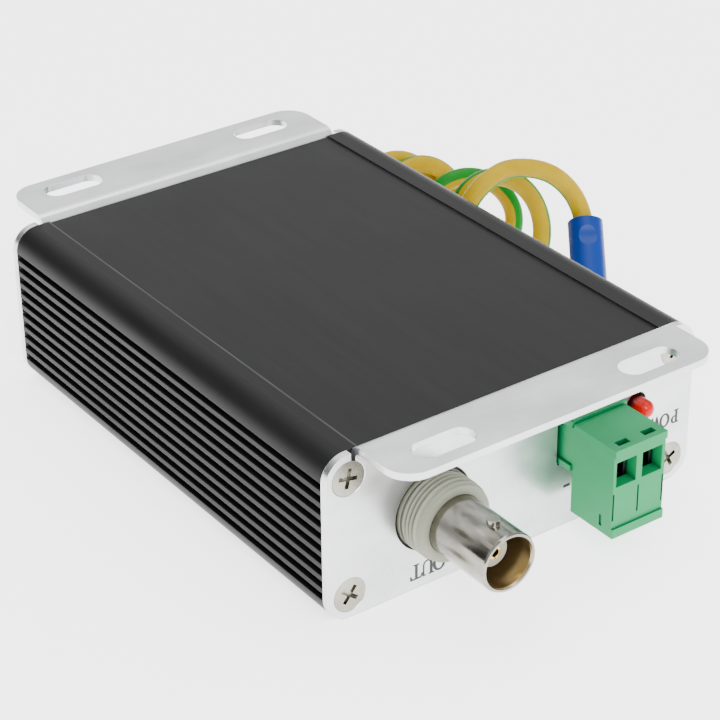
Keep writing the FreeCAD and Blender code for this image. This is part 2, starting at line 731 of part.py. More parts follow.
def bent_lead_y(x, y0, turn_y, z):
    """Lead that runs back along Y, then up through the board."""
    half = LEAD_SIZE / 2
    low, high = min(y0, turn_y - half), max(y0, turn_y + half)
    level = box(x - half, x + half, low, high, z - half, z + half)
    return fused([level, upright_lead(x, turn_y, z)])


def bent_lead_x(x0, turn_x, y, z):
    """Lead that runs out along X, then up through the board."""
    half = LEAD_SIZE / 2
    low, high = min(x0, turn_x - half), max(x0, turn_x + half)
    level = box(low, high, y - half, y + half, z - half, z + half)
    return fused([level, upright_lead(turn_x, y, z)])


def upright_lead(x, y, z):
    """Square lead from a height up through the board."""
    half = LEAD_SIZE / 2
    return box(x - half, x + half, y - half, y + half, z, LEAD_TOP_Z)


# Parts on the board

def axial_part(radius, length, x, y):
    """Part with its axis along X and a bent lead at each end."""
    z = BOARD_FACE_Z - PART_CLEARANCE - radius
    pieces = [rod_x(radius, y, z, x - length / 2, x + length / 2)]
    for lead_x, _ in axial_lead_spots(length, x, y):
        inner = x + math.copysign(length / 2 - LEAD_SIZE, lead_x - x)
        pieces.append(bent_lead_x(inner, lead_x, y, z))
    return fused(pieces)


def axial_lead_spots(length, x, y):
    reach = length / 2 + LEAD_RUN
    return [(x - reach, y), (x + reach, y)]


def disc_part(radius, thickness, x, y):
    """Coated disc that stands on edge, with its two leads straight up."""
    z = BOARD_FACE_Z - PART_CLEARANCE - radius
    pieces = [rod_y(radius, x, z, y - thickness / 2, y + thickness / 2)]
    for lead_x, lead_y in disc_lead_spots(radius, x, y):
        pieces.append(upright_lead(lead_x, lead_y, z))
    return fused(pieces)


def disc_lead_spots(radius, x, y):
    return [(x - radius / 2, y), (x + radius / 2, y)]


def choke(x, y):
    """Upright choke in a sleeve, with two leads."""
    top = BOARD_FACE_Z - PART_CLEARANCE
    bottom = top - CHOKE_HEIGHT
    pieces = [rod_z(CHOKE_R, x, y, bottom, top)]
    for lead_x, lead_y in disc_lead_spots(CHOKE_R, x, y):
        pieces.append(upright_lead(lead_x, lead_y, bottom))
    return fused(pieces)


def board_holes():
    """Every lead's hole as (x, y, half width of its square)."""
    lead_half = LEAD_SIZE / 2 + LEAD_FIT
    holes = []
    for spots, length in (
        (GAS_TUBE_SPOTS, GAS_TUBE_LENGTH),
        (DIODE_SPOTS, DIODE_LENGTH),
        (RESISTOR_SPOTS, RESISTOR_LENGTH),
        (LAMP_RESISTOR_SPOTS, LAMP_RESISTOR_LENGTH),
    ):
        for x, y in spots:
            holes += [(hx, hy, lead_half) for hx, hy in axial_lead_spots(length, x, y)]
    for spots, radius in ((DISC_SPOTS, DISC_R), (FUSE_SPOTS, FUSE_R), (CHOKE_SPOTS, CHOKE_R)):
        for x, y in spots:
            holes += [(hx, hy, lead_half) for hx, hy in disc_lead_spots(radius, x, y)]
    for side in (-1, 1):
        holes.append((LAMP_X + side * LAMP_LEAD_PITCH, lamp_lead_y(), lead_half))
    for mirror in (1, -1):
        holes.append((JACK_X, mirror * jack_tail_y(), TAIL_SIZE / 2 + LEAD_FIT))
        for x in pole_places():
            holes.append((x, mirror * header_pin_tail_y(), PIN_SIZE / 2 + LEAD_FIT))
    return holes


def circuit_board():
    half = board_slot_half() - BOARD_FIT
    end = END - BOARD_END_GAP
    board = box(-half, half, -end, end, BOARD_FACE_Z, BOARD_TOP_Z)
    cuts = [
        box(x - r, x + r, y - r, y + r, BOARD_FACE_Z, BOARD_TOP_Z) for x, y, r in board_holes()
    ]
    return board.cut(cuts)


# Earth wire

def grommet():
    """Rubber ring that holds the plate's edge in its groove."""
    outer = -out_y(PLATE_THICKNESS)
    inner = END
    bore = WIRE_R + GROMMET_FIT
    outline = [
        (bore, inner - GROMMET_RIM),
        (GROMMET_RIM_R, inner - GROMMET_RIM),
        (GROMMET_RIM_R, inner),
        (GROMMET_NECK_R, inner),
        (GROMMET_NECK_R, outer),
        (GROMMET_RIM_R, outer),
        (GROMMET_RIM_R, outer + GROMMET_RIM / 2),
        (GROMMET_RIM_R - GROMMET_RIM / 2, outer + GROMMET_RIM),
        (bore, outer + GROMMET_RIM),
    ]
    return turned_y(outline, GROMMET_X, GROMMET_Z)


def exit_y():
    """Y of the grommet's outer face, where the free wire starts."""
    return -out_y(PLATE_THICKNESS) + GROMMET_RIM


def tube(edges, start, direction):
    """Round tube of the wire's size along a path."""
    ring = Part.Wire(Part.makeCircle(WIRE_R, start, direction))
    shape = Part.Wire(edges).makePipeShell([ring], True, False)
    return shape.Solids[0] if shape.Solids else Part.Solid(shape)


def inner_earth_lead():
    """Wire inside the housing: straight in from the grommet, then up to the board."""
    start = Vector(GROMMET_X, exit_y(), GROMMET_Z)
    turn_r = min(INNER_TURN_R, BOARD_FACE_Z - GROMMET_Z)
    bend_y = END - INNER_RUN
    bend = Vector(GROMMET_X, bend_y, GROMMET_Z)
    half = math.sqrt(0.5)
    middle = Vector(GROMMET_X, bend_y - turn_r * half, GROMMET_Z + turn_r * (1 - half))
    level = Vector(GROMMET_X, bend_y - turn_r, GROMMET_Z + turn_r)
    edges = [Part.makeLine(start, bend), Part.Arc(bend, middle, level).toShape()]
    if BOARD_FACE_Z - level.z > 1e-6:
        edges.append(Part.makeLine(level, Vector(level.x, level.y, BOARD_FACE_Z)))
    return tube(edges, start, Vector(0, -1, 0))


def coil_centres():
    """Centre and turn radius of each ring of the coil, which lies on the floor."""
    return [(Vector(HALF_WIDTH + x, END + y, r + WIRE_R), r) for x, y, r in COIL_RINGS]


def wire_route():
    """Corner points of the free wire, from the grommet round to the back of the coil."""
    angle = math.radians(COIL_JOINT_DEG)
    centre, turn_r = coil_centres()[-1]
    joint = centre.add(Vector(turn_r * math.cos(angle), 0, turn_r * math.sin(angle)))
    lead = joint.add(Vector(0, COIL_LEAD, 0))
    corner = LOOP_CORNER * (lead.x - GROMMET_X)
    far_y = exit_y() + LOOP_REACH
    places = [
        (GROMMET_X, exit_y() + LOOP_START),
        (GROMMET_X - LOOP_SWAY, far_y - corner),
        (GROMMET_X + corner, far_y),
        (lead.x - corner, far_y),
    ]
    points = [Vector(GROMMET_X, exit_y(), GROMMET_Z)]
    for (x, y), share in zip(places, LOOP_FALL):
        points.append(Vector(x, y, GROMMET_Z + share * (lead.z - GROMMET_Z)))
    return points + [lead, joint]


def rounded_path(points):
    """Straight runs joined by tangent arcs, and the radius of each arc."""
    edges, radii = [], []
    last = points[0]
    for before, corner, after in zip(points, points[1:], points[2:]):
        arrive = corner.sub(before)
        leave = after.sub(corner)
        shorter = min(arrive.Length, leave.Length)
        arrive.normalize()
        leave.normalize()
        half_turn = arrive.getAngle(leave) / 2
        reach = 0.45 * shorter
        radius = reach / math.tan(half_turn)
        inward = leave.sub(arrive)
        inward.normalize()
        start = corner.sub(Vector(arrive).multiply(reach))
        stop = corner.add(Vector(leave).multiply(reach))
        middle = corner.add(inward.multiply(radius / math.cos(half_turn) - radius))
        edges.append(Part.makeLine(last, start))
        edges.append(Part.Arc(start, middle, stop).toShape())
        radii.append(radius)
        last = stop
    edges.append(Part.makeLine(last, points[-1]))
    return edges, radii


def earth_wire():
    points = wire_route()
    edges, radii = rounded_path(points)
    length = sum(edge.Length for edge in edges)
    solid = tube(edges, points[0], points[1].sub(points[0]))
    share = solid.Volume / (math.pi * WIRE_R ** 2 * length)
    print("earth wire arc radii", [round(radius, 1) for radius in radii])
    print("earth wire length", round(length, 1), "volume share", round(share, 4))
    return solid


def earth_wire_coil():
    """Outer shape of the loose coil, a hollow horn on the floor, and the wire's end."""
    stub = along_sleeve(rod_x(WIRE_R, 0, 0, -STUB_LENGTH, SLEEVE_BORE_DEPTH))
    return coil_horn(WIRE_R).cut(coil_horn(-WIRE_R)).fuse(stub).Solids[0]


def coil_horn(offset):
    """Solid horn through every ring of the coil, an offset outside the wire's middle."""
    rings = []
    for centre, turn_r in coil_centres():
        points = []
        for i in range(COIL_SIDES + 1):
            angle = 2 * math.pi * i / COIL_SIDES
            side = Vector(math.cos(angle), 0, math.sin(angle)).multiply(turn_r + offset)
            points.append(centre.add(side))
        rings.append(Part.makePolygon(points))
    return Part.makeLoft(rings, True, True)


def along_sleeve(shape):
    """Moves a shape from its own frame, built along +X, to the sleeve's place."""
    aim = Vector(*SLEEVE_AIM)
    aim.normalize()
    up = Vector(0, 0, 1)
    up = up.sub(Vector(aim).multiply(up.dot(aim)))
    up.normalize()
    side = up.cross(aim)
    start = coil_centres()[0][0].add(Vector(*SLEEVE_START))
    matrix = FreeCAD.Matrix(
        aim.x, side.x, up.x, start.x,
        aim.y, side.y, up.y, start.y,
        aim.z, side.z, up.z, start.z,
        0, 0, 0, 1,
    )
    shape.Placement = FreeCAD.Placement(matrix)
    return shape


def terminal_sleeve():
    """Sleeve over the crimp barrel, dented on both sides where the crimp tool closed."""
    body = rod_x(SLEEVE_R, 0, 0, 0, SLEEVE_LENGTH)
    jaw_r = (DENT_LENGTH ** 2 / 4 + DENT_DEPTH ** 2) / (2 * DENT_DEPTH)
    jaw_z = SLEEVE_R - DENT_DEPTH + jaw_r
    jaws = [rod_y(jaw_r, DENT_PLACE, side * jaw_z, -SLEEVE_R, SLEEVE_R) for side in (-1, 1)]
    wire_bore = rod_x(WIRE_R + SLEEVE_BORE_FIT, 0, 0, 0, SLEEVE_BORE_DEPTH)
    crimp_start = SLEEVE_LENGTH - CRIMP_LENGTH
    crimp_bore = rod_x(CRIMP_R + SLEEVE_BORE_FIT, 0, 0, crimp_start, SLEEVE_LENGTH)
    return along_sleeve(body.cut([wire_bore, crimp_bore] + jaws))


def ring_terminal():
    """Crimp barrel in the sleeve, and the flat tag with its ring."""
    crimp_start = SLEEVE_LENGTH - CRIMP_LENGTH
    half = TAG_THICKNESS / 2
    ring_x = SLEEVE_LENGTH + TAG_REACH
    neck = TAG_NECK / 2
    pieces = [
        rod_x(CRIMP_R, 0, 0, crimp_start, SLEEVE_LENGTH + TAG_THICKNESS),
        box(SLEEVE_LENGTH, ring_x, -neck, neck, -half, half),
        rod_z(TAG_R, ring_x, 0, -half, half),
    ]
    return along_sleeve(fused(pieces).cut(rod_z(TAG_HOLE_R, ring_x, 0, -half, half)))


def build_nodes():
    """Every node's name with its solids."""
    nodes = {
        "housing_extrusion": [housing_extrusion()],
        "out_end_plate": [end_plate([jack_opening(), header_opening(), lamp_opening()])],
        "in_end_plate": [to_in_end(end_plate([jack_opening(), header_opening(), grommet_opening()]))],
        "out_plate_screws": plate_screws(),
        "in_plate_screws": [to_in_end(screw) for screw in plate_screws()],
        "circuit_board": [circuit_board()],
        "power_lamp": [power_lamp()],
        "power_lamp_leads": lamp_leads(),
        "gas_tubes": [axial_part(GAS_TUBE_R, GAS_TUBE_LENGTH, x, y) for x, y in GAS_TUBE_SPOTS],
        "varistors": [disc_part(DISC_R, DISC_THICKNESS, x, y) for x, y in DISC_SPOTS],
        "clamp_diodes": [axial_part(DIODE_R, DIODE_LENGTH, x, y) for x, y in DIODE_SPOTS],
        "series_resistors": [axial_part(RESISTOR_R, RESISTOR_LENGTH, x, y) for x, y in RESISTOR_SPOTS],
        "power_chokes": [choke(x, y) for x, y in CHOKE_SPOTS],
        "resettable_fuses": [disc_part(FUSE_R, FUSE_THICKNESS, x, y) for x, y in FUSE_SPOTS],
        "lamp_resistor": [
            axial_part(LAMP_RESISTOR_R, LAMP_RESISTOR_LENGTH, x, y) for x, y in LAMP_RESISTOR_SPOTS
        ],
        "earth_grommet": [grommet()],
        "earth_lead_inside": [inner_earth_lead()],
        "earth_wire": [earth_wire()],
        "earth_wire_coil": [earth_wire_coil()],
        "terminal_sleeve": [terminal_sleeve()],
        "ring_terminal": [ring_terminal()],
    }
    both_ends = {
        "jack_body": [jack_body()],
        "jack_barrel": [jack_barrel()],
        "jack_insulator": [jack_insulator()],
        "jack_contact": [jack_contact()],
        "header_shell": [header_shell()],
        "header_pins": header_pins(),
        "plug_housing": [plug_housing()],
        "plug_contacts": plug_contacts(),
    }
    for number, x in enumerate(pole_places(), 1):
        both_ends["clamp_cage_%d" % number] = [clamp_cage(x)]
        both_ends["clamp_screw_%d" % number] = [clamp_screw(x)]
    for name, solids in both_ends.items():
        nodes["out_" + name] = solids
        nodes["in_" + name] = [to_in_end(solid) for solid in solids]
    return nodes


def export_nodes(nodes):
    os.makedirs("parts", exist_ok=True)
    for name, solids in nodes.items():
        shape = solids[0] if len(solids) == 1 else Part.makeCompound(solids)
        if not shape.isValid() or len(shape.Solids) != len(solids):
            print("check this node:", name, "solids", len(shape.Solids))
        shape.exportStep(os.path.join("parts", name + ".step"))


def main():
    nodes = build_nodes()
    export_nodes(nodes)
    whole = Part.makeCompound([solid for solids in nodes.values() for solid in solids]).BoundBox
    print("nodes", len(nodes), "box", [round(v, 2) for v in (whole.XMin, whole.YMin, whole.ZMin)],
          [round(v, 2) for v in (whole.XMax, whole.YMax, whole.ZMax)])


main()
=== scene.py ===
import json
import math

import bpy
from mathutils import Matrix, Vector


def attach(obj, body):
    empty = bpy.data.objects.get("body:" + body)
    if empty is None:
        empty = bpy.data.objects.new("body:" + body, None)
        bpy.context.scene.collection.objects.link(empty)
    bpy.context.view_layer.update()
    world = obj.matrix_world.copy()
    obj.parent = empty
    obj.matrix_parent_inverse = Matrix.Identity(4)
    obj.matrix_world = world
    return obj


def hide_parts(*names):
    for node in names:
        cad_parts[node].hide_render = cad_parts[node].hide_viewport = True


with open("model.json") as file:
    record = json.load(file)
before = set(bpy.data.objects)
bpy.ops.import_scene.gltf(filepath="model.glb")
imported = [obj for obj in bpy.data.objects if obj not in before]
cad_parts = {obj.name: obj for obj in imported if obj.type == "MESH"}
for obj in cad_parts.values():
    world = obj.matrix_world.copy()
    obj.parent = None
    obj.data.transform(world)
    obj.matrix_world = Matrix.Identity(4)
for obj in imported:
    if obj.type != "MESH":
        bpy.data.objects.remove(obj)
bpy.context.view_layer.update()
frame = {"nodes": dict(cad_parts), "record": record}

MM = 0.001
ROOT = "surge_protector"
JACK_X = -15.8
JACK_Z = 13.1


# Camera at the photograph's viewing angle

AZIMUTH = math.radians(-35.63)
ELEVATION = math.radians(30.02)
ROLL = math.radians(-0.577)
CAMERA_PLACE = Vector((-193.5, -275.0, 206.0)) * MM
SENSOR = 36.0
LENS = 118.65


def make_camera():
    back = Vector((
        math.sin(AZIMUTH) * math.cos(ELEVATION),
        -math.cos(AZIMUTH) * math.cos(ELEVATION),
        math.sin(ELEVATION),
    ))
    right = (-back).cross(Vector((0, 0, 1))).normalized()
    up = right.cross(-back).normalized()
    turned_right = right * math.cos(ROLL) + up * math.sin(ROLL)
    turned_up = up * math.cos(ROLL) - right * math.sin(ROLL)
    data = bpy.data.cameras.new("camera")
    data.sensor_width = SENSOR
    data.lens = LENS
    data.clip_start = 0.01
    data.clip_end = 50
    camera = bpy.data.objects.new("camera", data)
    bpy.context.scene.collection.objects.link(camera)
    columns = Matrix((turned_right, turned_up, back)).transposed()
    camera.matrix_world = Matrix.Translation(CAMERA_PLACE) @ columns.to_4x4()
    bpy.context.scene.camera = camera


make_camera()


# Node material helpers

class Shader:
    """A node material, with short ways to make and link its nodes."""

    def __init__(self, name):
        self.material = bpy.data.materials.new(name)
        self.material.use_nodes = True
        self.tree = self.material.node_tree
        self.nodes = self.tree.nodes
        self.surface = next(n for n in self.nodes if n.type == "BSDF_PRINCIPLED")

    def link(self, source, target):
        self.tree.links.new(source, target)

    def place(self, scale=(1, 1, 1)):
        """Object coordinates, stretched by a scale on each axis."""
        coordinates = self.nodes.new("ShaderNodeTexCoord")
        mapping = self.nodes.new("ShaderNodeMapping")
        mapping.inputs["Scale"].default_value = scale
        self.link(coordinates.outputs["Object"], mapping.inputs["Vector"])
        return mapping.outputs["Vector"]

    def noise(self, where, scale, detail=3.0, roughness=0.55):
        node = self.nodes.new("ShaderNodeTexNoise")
        node.inputs["Scale"].default_value = scale
        node.inputs["Detail"].default_value = detail
        node.inputs["Roughness"].default_value = roughness
        self.link(where, node.inputs["Vector"])
        return node.outputs["Fac"]

    def spread(self, value, low, high, start=0.3, stop=0.7):
        """A value from start to stop, spread from low to high."""
        node = self.nodes.new("ShaderNodeMapRange")
        node.inputs["From Min"].default_value = start
        node.inputs["From Max"].default_value = stop
        node.inputs["To Min"].default_value = low
        node.inputs["To Max"].default_value = high
        self.link(value, node.inputs["Value"])
        return node.outputs["Result"]

    def blend(self, share, first, second):
        """Colour from first to second by a share, each a colour or a socket."""
        node = self.nodes.new("ShaderNodeMix")
        node.data_type = "RGBA"
        for socket, colour in ((node.inputs[6], first), (node.inputs[7], second)):
            if isinstance(colour, bpy.types.NodeSocket):
                self.link(colour, socket)
            else:
                socket.default_value = (*colour, 1)
        self.link(share, node.inputs[0])
        return node.outputs[2]

    def combine(self, operation, first, second):
        node = self.nodes.new("ShaderNodeMath")
        node.operation = operation
        for socket, value in zip(node.inputs, (first, second)):
            if isinstance(value, bpy.types.NodeSocket):
                self.link(value, socket)
            else:
                socket.default_value = value
        return node.outputs[0]

    def rounding(self, radius):
        """Normal that rounds every edge by a small radius."""
        node = self.nodes.new("ShaderNodeBevel")
        node.samples = 4
        node.inputs["Radius"].default_value = radius
        return node.outputs["Normal"]

    def edge_share(self, rounded):
        """Share from 0 on a flat face to 1 on an edge."""
        geometry = self.nodes.new("ShaderNodeNewGeometry")
        dot = self.nodes.new("ShaderNodeVectorMath")
        dot.operation = "DOT_PRODUCT"
        self.link(rounded, dot.inputs[0])
        self.link(geometry.outputs["Normal"], dot.inputs[1])
        return self.spread(dot.outputs["Value"], 0.0, 1.0, 0.995, 0.90)

    def painted_hollow_shade(self, colour, reach, shade_depth=0.2):
        """Colour with painted shade: darker in recesses and beside whatever stands close."""
        node = self.nodes.new("ShaderNodeAmbientOcclusion")
        node.samples = 6
        node.inputs["Distance"].default_value = reach
        unshaded_share = self.spread(node.outputs["AO"], 0.0, 1.0, 0.15, 0.75)
        dark = self.nodes.new("ShaderNodeMix")
        dark.data_type = "RGBA"
        dark.blend_type = "MULTIPLY"
        dark.inputs[0].default_value = 1.0
        self.link(colour, dark.inputs[6])
        dark.inputs[7].default_value = (shade_depth, shade_depth, shade_depth, 1)
        return self.blend(unshaded_share, dark.outputs[2], colour)

    def bump(self, height, strength, distance, normal=None):
        node = self.nodes.new("ShaderNodeBump")
        node.inputs["Strength"].default_value = strength
        node.inputs["Distance"].default_value = distance
        self.link(height, node.inputs["Height"])
        if normal is not None:
            self.link(normal, node.inputs["Normal"])
        self.link(node.outputs["Normal"], self.surface.inputs["Normal"])

    def put(self, **sockets):
        """Sets or links the shader's own sockets, named with _ for a space."""
        for key, value in sockets.items():
            socket = self.surface.inputs[key.replace("_", " ")]
            if isinstance(value, bpy.types.NodeSocket):
                self.link(value, socket)
            elif isinstance(value, tuple):
                socket.default_value = (*value, 1)
            else:
                socket.default_value = value


def shade(colour, factor):
    return tuple(min(1.0, channel * factor) for channel in colour)


def moulded(name, colour, roughness=0.42, soft=0.0, gloss=0.5, grain=900, edge=0.00012, contrast=0.06):
    """Moulded plastic: faint flow marks, fine grain, edges slightly lighter by wear and painted highlight,
    and painted shade in recesses.
    """
    s = Shader(name)
    rounded = s.rounding(edge)
    flow = s.noise(s.place((120, 120, 260)), 1.0, 4.0)
    fine = s.noise(s.place(), grain * 4, 2.0)
    # Edge mask: edges lightened partly by wear, partly by a painted highlight
    edge_wear_and_highlight = s.edge_share(rounded)
    body = s.blend(s.spread(flow, 0.0, 1.0), shade(colour, 1 - contrast), shade(colour, 1 + contrast))
    patchy_wear_and_highlight = s.combine("MULTIPLY", edge_wear_and_highlight, s.spread(fine, 0.1, 0.5))
    # Base colour: lighter edges, then painted shade in recesses and beside close parts
    s.put(
        Base_Color=s.painted_hollow_shade(s.blend(patchy_wear_and_highlight, body, shade(colour, 1.25)), 0.0022, 0.12),
        Roughness=s.spread(flow, roughness - 0.05, roughness + 0.06),
        Subsurface_Weight=soft,
        Subsurface_Scale=0.0012,
        Specular_IOR_Level=gloss,
    )
    s.bump(fine, 0.12, 0.00002, rounded)
    return s.material


def dipped(name, colour, roughness=0.22):
    """Glossy dipped coating with a slow unevenness."""
    s = Shader(name)
    slow = s.noise(s.place(), 260, 2.0)
    fine = s.noise(s.place(), 2600, 2.0)
    s.put(
        Base_Color=s.blend(s.spread(slow, 0.0, 1.0), shade(colour, 0.85), shade(colour, 1.12)),
        Roughness=s.spread(fine, roughness - 0.05, roughness + 0.08),
    )
    s.bump(slow, 0.3, 0.00008)
    return s.material


def plated(
    name, colour, roughness, grain=(1, 1, 1), edge=0.00005, streak=0.08, bump=0.1, reach=0.0005, shade_depth=0.12
):
    """Plated or bare metal with fine marks, edges lighter by wear and painted highlight, and painted shade
    in recesses.
    """
    s = Shader(name)
    rounded = s.rounding(edge)
    fine = s.noise(s.place(grain), 1800, 3.0)
    slow = s.noise(s.place(grain), 240, 3.0)
    marks = s.blend(s.spread(slow, 0.0, 1.0), shade(colour, 1 - streak), shade(colour, 1 + streak))
    # Base colour: edges lighter by wear and painted highlight, painted shade in recesses and beside close
    # parts
    s.put(
        Base_Color=s.painted_hollow_shade(s.blend(s.edge_share(rounded), marks, shade(colour, 1.15)), reach, shade_depth),
        Metallic=1.0,
        Roughness=s.spread(slow, roughness - 0.04, roughness + 0.05),
    )
    s.bump(fine, bump, 0.00001, rounded)
    return s.material


def barrel_nickel():
    """Nickel of the jacks' barrels: handling marks and edges lighter by wear and painted highlight
    outside, and a brown tarnish inside the bore.
    """
    s = Shader("barrel_nickel")
    rounded = s.rounding(0.00006)
    fine = s.noise(s.place((1, 0.15, 1)), 2200, 4.0)
    slow = s.noise(s.place((1, 0.5, 1)), 300, 4.0, 0.65)
    marks = s.blend(s.spread(slow, 0.0, 1.0), (0.185, 0.178, 0.15), (0.32, 0.31, 0.27))
    # Edges lighter: partly wear, partly a painted highlight
    outside = s.blend(s.edge_share(rounded), marks, (0.58, 0.57, 0.52))
    tarnish = s.blend(s.spread(slow, 0.0, 1.0), (0.43, 0.32, 0.16), (0.56, 0.43, 0.24))
    place = s.nodes.new("ShaderNodeSeparateXYZ")
    s.link(s.place(), place.inputs[0])
    across = s.combine("SUBTRACT", place.outputs[0], JACK_X * MM)
    above = s.combine("SUBTRACT", place.outputs[2], JACK_Z * MM)
    squares = s.combine("ADD", s.combine("MULTIPLY", across, across), s.combine("MULTIPLY", above, above))
    radius = s.combine("SQRT", squares, 0.0)
    inside = s.spread(radius, 1.0, 0.0, 0.00415, 0.00428)
    s.put(
        Base_Color=s.blend(inside, outside, tarnish),
        Metallic=1.0,
        Roughness=s.combine("ADD", s.spread(slow, 0.11, 0.20), s.combine("MULTIPLY", inside, 0.16)),
    )
    s.bump(fine, 0.15, 0.00001, rounded)
    return s.material


def anodised_black():
    """Black anodised extrusion: die lines along its length, corners lighter by wear and painted highlight,
    and a lighter ridge line on one side, part rubbing and part painted highlight.
    """
    s = Shader("housing_black")
    rounded = s.rounding(0.0002)
    lines = s.noise(s.place((1, 0.02, 1)), 4200, 3.0)
    bands = s.noise(s.place((1, 0.06, 1)), 700, 3.0)
    cloud = s.noise(s.place(), 45, 3.0)
    specks = s.noise(s.place(), 5200, 2.0)
    # Corners lighter: partly wear, partly a painted highlight
    edge_wear_and_highlight = s.edge_share(rounded)
    patchy_wear_and_highlight = s.combine("MULTIPLY", edge_wear_and_highlight, s.spread(lines, 0.15, 0.8))
    base = s.blend(s.spread(bands, 0.0, 1.0), (0.0055, 0.0055, 0.0060), (0.0085, 0.0085, 0.0090))
    clouded = s.blend(s.spread(cloud, 0.0, 0.35), base, (0.012, 0.012, 0.0125))
    # A lighter line on the ridge at x of -28.5 mm, one side only: partly rubbing, partly a painted
    # highlight
    place = s.nodes.new("ShaderNodeSeparateXYZ")
    s.link(s.place(), place.inputs[0])
    inner = s.spread(place.outputs[0], 1.0, 0.0, -0.02850, -0.02843)
    outer = s.spread(place.outputs[0], 0.0, 1.0, -0.02886, -0.02874)
    crest_highlight = s.combine("MULTIPLY", s.combine("MULTIPLY", inner, outer), s.spread(lines, 0.4, 0.9))
    with_crest_highlight = s.blend(crest_highlight, clouded, (0.060, 0.060, 0.062))
    s.put(
        Base_Color=s.blend(patchy_wear_and_highlight, with_crest_highlight, (0.075, 0.075, 0.078)),
        Roughness=s.spread(cloud, 0.40, 0.46),
        Specular_IOR_Level=0.13,
    )
    mixed = s.combine("ADD", s.combine("MULTIPLY", lines, 0.6), s.combine("MULTIPLY", specks, 0.4))
    s.bump(mixed, 0.12, 0.00001, rounded)
    return s.material


def satin_sheet():
    """Bare satin sheet of the end plates, with faint rolling lines across, edges lighter by painted
    highlight and wear, and painted shade beside close parts.
    """
    s = Shader("plate_aluminium")
    rounded = s.rounding(0.00012)
    rolled = s.noise(s.place((0.12, 1, 1)), 3000, 3.0)
    pits = s.noise(s.place(), 3800, 4.0, 0.7)
    cloud = s.noise(s.place((0.6, 1, 1)), 110, 4.0, 0.6)
    base = s.blend(s.spread(cloud, 0.0, 1.0), (0.60, 0.61, 0.63), (0.78, 0.79, 0.80))
    # Base colour: edges lighter by painted highlight and wear, painted shade within about 0.6 mm of other
    # parts
    s.put(
        Base_Color=s.painted_hollow_shade(s.blend(s.edge_share(rounded), base, (0.90, 0.905, 0.91)), 0.0006, 0.3),
        Metallic=0.95,
        Roughness=s.spread(cloud, 0.24, 0.38),
    )
    mixed = s.combine("ADD", s.combine("MULTIPLY", rolled, 0.3), s.combine("MULTIPLY", pits, 0.7))
    s.bump(mixed, 0.05, 0.00001, rounded)
    return s.material


def lamp_red():
    s = Shader("lamp_red")
    slow = s.noise(s.place(), 700, 2.0)
    lens = s.blend(s.spread(slow, 0.0, 1.0), (0.50, 0.0, 0.0), (0.68, 0.002, 0.0))
    # Painted shade: the lens goes dark red, near black, within about a millimetre of the plate
    place = s.nodes.new("ShaderNodeSeparateXYZ")
    s.link(s.place(), place.inputs[0])
    shaded_near_plate = s.spread(place.outputs[1], 0.0, 1.0, -0.0465, -0.0458)
    s.put(
        Base_Color=s.blend(shaded_near_plate, lens, (0.055, 0.0, 0.0)),
        Roughness=s.spread(slow, 0.10, 0.18),
        Specular_IOR_Level=0.25,
    )
    s.bump(slow, 0.03, 0.00002)
    return s.material


def cord_cover(name, striped):
    """Cord's cover: yellow, with a green stripe where its map's second value is near 0."""
    s = Shader(name)
    slow = s.noise(s.place(), 200, 3.0)
    fine = s.noise(s.place(), 3200, 2.0)
    yellow = s.blend(s.spread(slow, 0.0, 1.0), (0.37, 0.235, 0.0), (0.43, 0.29, 0.0))
    if striped:
        where = s.nodes.new("ShaderNodeUVMap")
        where.uv_map = "along"
        split = s.nodes.new("ShaderNodeSeparateXYZ")
        s.link(where.outputs["UV"], split.inputs[0])
        off = s.combine("ABSOLUTE", s.combine("SUBTRACT", split.outputs[1], 0.5), 0.0)
        uneven = s.combine("ADD", off, s.spread(slow, -0.008, 0.008))
        share = s.spread(uneven, 1.0, 0.0, STRIPE_HALF - 0.012, STRIPE_HALF + 0.012)
        green = s.blend(s.spread(slow, 0.0, 1.0), (0.0, 0.14, 0.006), (0.0, 0.20, 0.010))
        s.put(Base_Color=s.blend(share, yellow, green))
    else:
        s.put(Base_Color=yellow)
    s.put(
        Roughness=s.spread(slow, 0.36, 0.46),
        Specular_IOR_Level=0.12,
    )
    s.bump(fine, 0.10, 0.00002)
    return s.material


# Earth wire: one spline through its route and the turns of its coil

WIRE_R = 1.7
STRIPE_HALF = 0.13
ROUTE = (
    (23.0, 46.6, 13.0),
    (23.0, 54.6, 13.0),
    (22.5, 66.2, 5.74),
    (30.9, 74.1, 2.1),
    (41.5, 74.1, 2.1),
    (50.5, 73.0, 2.05),
    (56.3, 68.3, 2.0),
    (59.4, 59.6, 1.9),
    (55.7, 51.7, 1.8),
)
COIL_START = 4.79
COIL_STOP = 0.2899
POINTS_PER_TURN = 16
COIL_X = (47.544, 52.22, 55.493, 52.185, 49.208, 46.377)
COIL_Y = (11.17, 23.809, 32.683, 45.128, 49.147, 52.317)
COIL_R = (13.119, 9.381, 6.974, 6.763, 7.125, 7.015)
COIL_TILT = (-0.01, -0.012, 0.04, 0.168, 0.242, 0.165)
TILT_AIM = (0.555, 0.701, -0.446)
COIL_LEAN_X = -0.172
COIL_LEAN_Y = 0.166
COIL_SKEW = 0.006
FLOOR_GAP = 0.05
SLEEVE_ENTRY = ((48.95, 17.24, 26.15), (55.83, 15.05, 24.39), (60.84, 13.75, 19.19))
SLEEVE_FACE = Vector((61.27, 10.73, 14.04))
SLEEVE_AIM = Vector((-0.437, -0.645, -0.627)).normalized()
WIRE_IN_SLEEVE = 4.0
STRIPE_FACING = Vector((-0.504, -0.704, 0.500))
STRIPE_TURNS = (0.0, 0.25, 0.5, 0.7, 0.85, 1.25, 2.0, 2.25, 2.6, 3.0, 3.25, 3.4, 4.25, 5.0)
